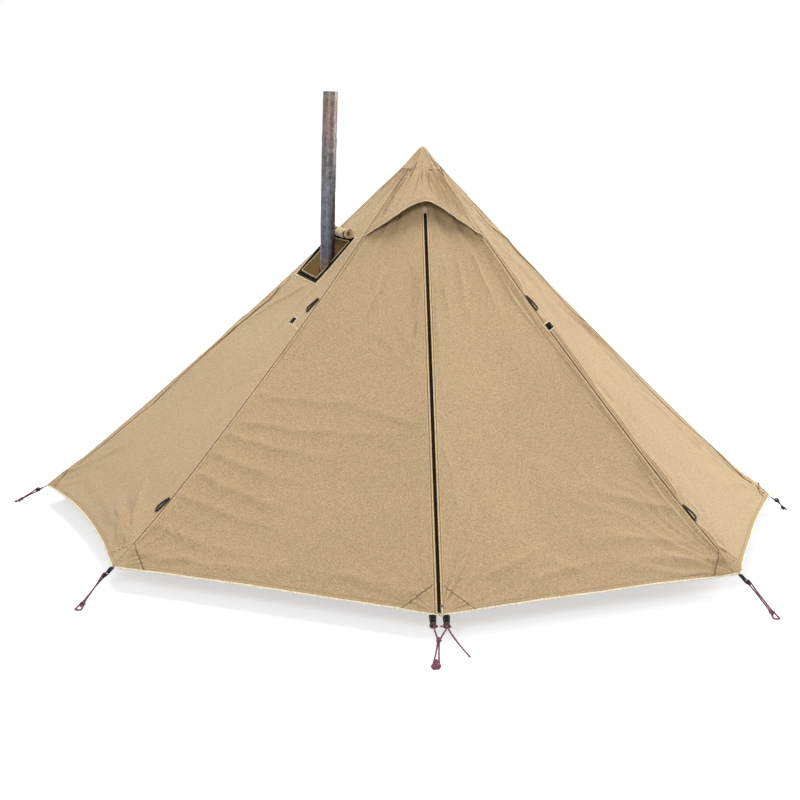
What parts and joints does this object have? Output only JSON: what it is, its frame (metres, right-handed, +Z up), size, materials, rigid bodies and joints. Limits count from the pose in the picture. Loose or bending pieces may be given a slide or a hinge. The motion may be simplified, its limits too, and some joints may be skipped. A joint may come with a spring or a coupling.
{
  "type": "hot tent",
  "caption": "Pyramid canvas hot tent on a centre pole, with a zipped double door under a hood, stove jack, small wood stove and flue pipe.",
  "frame": {"origin": "underside of the centre pole's foot, on the ground", "axes": "+Z up; the door's zip lies on the -Y side; the stove jack is on the -X side"},
  "size_m": [3.4717, 3.643, 1.795],
  "materials": {
    "canvas": "tan cotton canvas, matt",
    "canvas_side": "tan cotton canvas, matt",
    "hood_cloth": "tan cotton canvas, matt",
    "zip_tape": "dark brown woven zip tape and coil",
    "zip_metal": "dark painted die-cast metal",
    "pull_cloth": "pale tan woven tape",
    "heat_cloth": "brown heat-resistant coated glass cloth",
    "black_cloth": "black woven cloth",
    "webbing": "black woven webbing",
    "cord": "braided cord, maroon and grey fleck",
    "elastic": "dark braided shock cord",
    "pole_tube": "plain drawn aluminium tube",
    "plastic": "black moulded plastic",
    "rubber": "black rubber",
    "stove_steel": "thin stainless sheet",
    "pipe_steel": "thin rolled stainless sheet, heat tinted",
    "pipe_top_steel": "thin rolled stainless sheet, heat tinted",
    "dark_iron": "dark heat-proof finish on steel",
    "latch_brass": "plain brass"
  },
  "bodies": {
    "shelter": {"cord_front": "cord", "cord_left": "cord", "cord_left_front": "cord", "cord_left_rear": "cord", "cord_rear": "cord", "cord_right": "cord", "cord_right_front": "cord", "cord_right_rear": "cord", "firebox": "stove_steel", "grate": "dark_iron", "hinge_pin": "dark_iron", "hood": "hood_cloth", "jack_border": "black_cloth", "jack_flap": "canvas_side", "jack_panel": "heat_cloth", "legs_front": "dark_iron", "legs_rear": "dark_iron", "panel_left_front": "canvas_side", "panel_left_rear": "canvas_side", "panel_rear_left": "canvas_side", "panel_rear_right": "canvas_side", "panel_right_front": "canvas_side", "panel_right_rear": "canvas_side", "peak_cap": "canvas_side", "pipe_lower": "pipe_steel", "pipe_upper": "pipe_top_steel", "pole_collar": "plastic", "pole_foot": "rubber", "pole_lower": "pole_tube", "square_left": "black_cloth", "square_right": "black_cloth", "tab_left": "webbing", "tab_left_front": "webbing", "tab_left_rear": "webbing", "tab_rear": "webbing", "tab_right": "webbing", "tab_right_front": "webbing", "tab_right_rear": "webbing", "tie_left_lower": "elastic", "tie_left_upper": "elastic", "tie_right_lower": "elastic", "tie_right_upper": "elastic", "yoke_left": "canvas", "yoke_right": "canvas", "zip_head_tab": "pull_cloth", "zip_upper": "zip_tape"},
    "door_left": {"door_left": "canvas", "zip_left": "zip_tape", "tab_front_left": "webbing"},
    "door_right": {"door_right": "canvas", "zip_right": "zip_tape", "tab_front_right": "webbing"},
    "zip_slider": {"zip_slider": "zip_metal"},
    "zip_pull": {"zip_pull": "pull_cloth"},
    "pole_upper": {"pole_upper": "pole_tube", "pole_tip": "plastic"},
    "stove_door": {"stove_door": "stove_steel"},
    "latch": {"latch": "latch_brass"},
    "air_slide": {"air_slide": "dark_iron"},
    "damper": {"damper": "dark_iron"}
  },
  "joints": [
    {"name": "door_left_fold", "type": "hinge", "parent": "shelter", "child": "door_left", "pos_m": [-1.13263, -1.13263, 0.0869], "axis": [-0.5259, -0.5259, -0.6685], "range_deg": [0, 110]},
    {"name": "door_right_fold", "type": "hinge", "parent": "shelter", "child": "door_right", "pos_m": [1.13263, -1.13263, 0.0869], "axis": [-0.5239, 0.5239, 0.6716], "range_deg": [0, 110]},
    {"name": "zip_run", "type": "slide", "parent": "door_right", "child": "zip_slider", "axis": [0, 0.7295, 0.6839], "range_m": [0, 1.465]},
    {"name": "zip_pull_swing", "type": "hinge", "parent": "zip_slider", "child": "zip_pull", "pos_m": [0.00869, -1.58689, 0.11016], "axis": [-0.9621, -0.1864, 0.1989], "range_deg": [0, 100]},
    {"name": "pole_extend", "type": "slide", "parent": "shelter", "child": "pole_upper", "axis": [0, 0, -1], "range_m": [0, 0.25]},
    {"name": "stove_door_swing", "type": "hinge", "parent": "shelter", "child": "stove_door", "pos_m": [-0.48048, -0.48792, 0.246], "axis": [0, 0, -1], "range_deg": [0, 120]},
    {"name": "latch_turn", "type": "hinge", "parent": "stove_door", "child": "latch", "pos_m": [-0.32238, -0.48872, 0.246], "axis": [0, -1, 0], "range_deg": [0, 90]},
    {"name": "air_slide_run", "type": "slide", "parent": "stove_door", "child": "air_slide", "axis": [-1, 0, 0], "range_m": [0, 0.024]},
    {"name": "damper_turn", "type": "hinge", "parent": "shelter", "child": "damper", "pos_m": [-0.39238, -0.16992, 0.62], "axis": [0, 1, 0], "range_deg": [0, 90]}
  ]
}
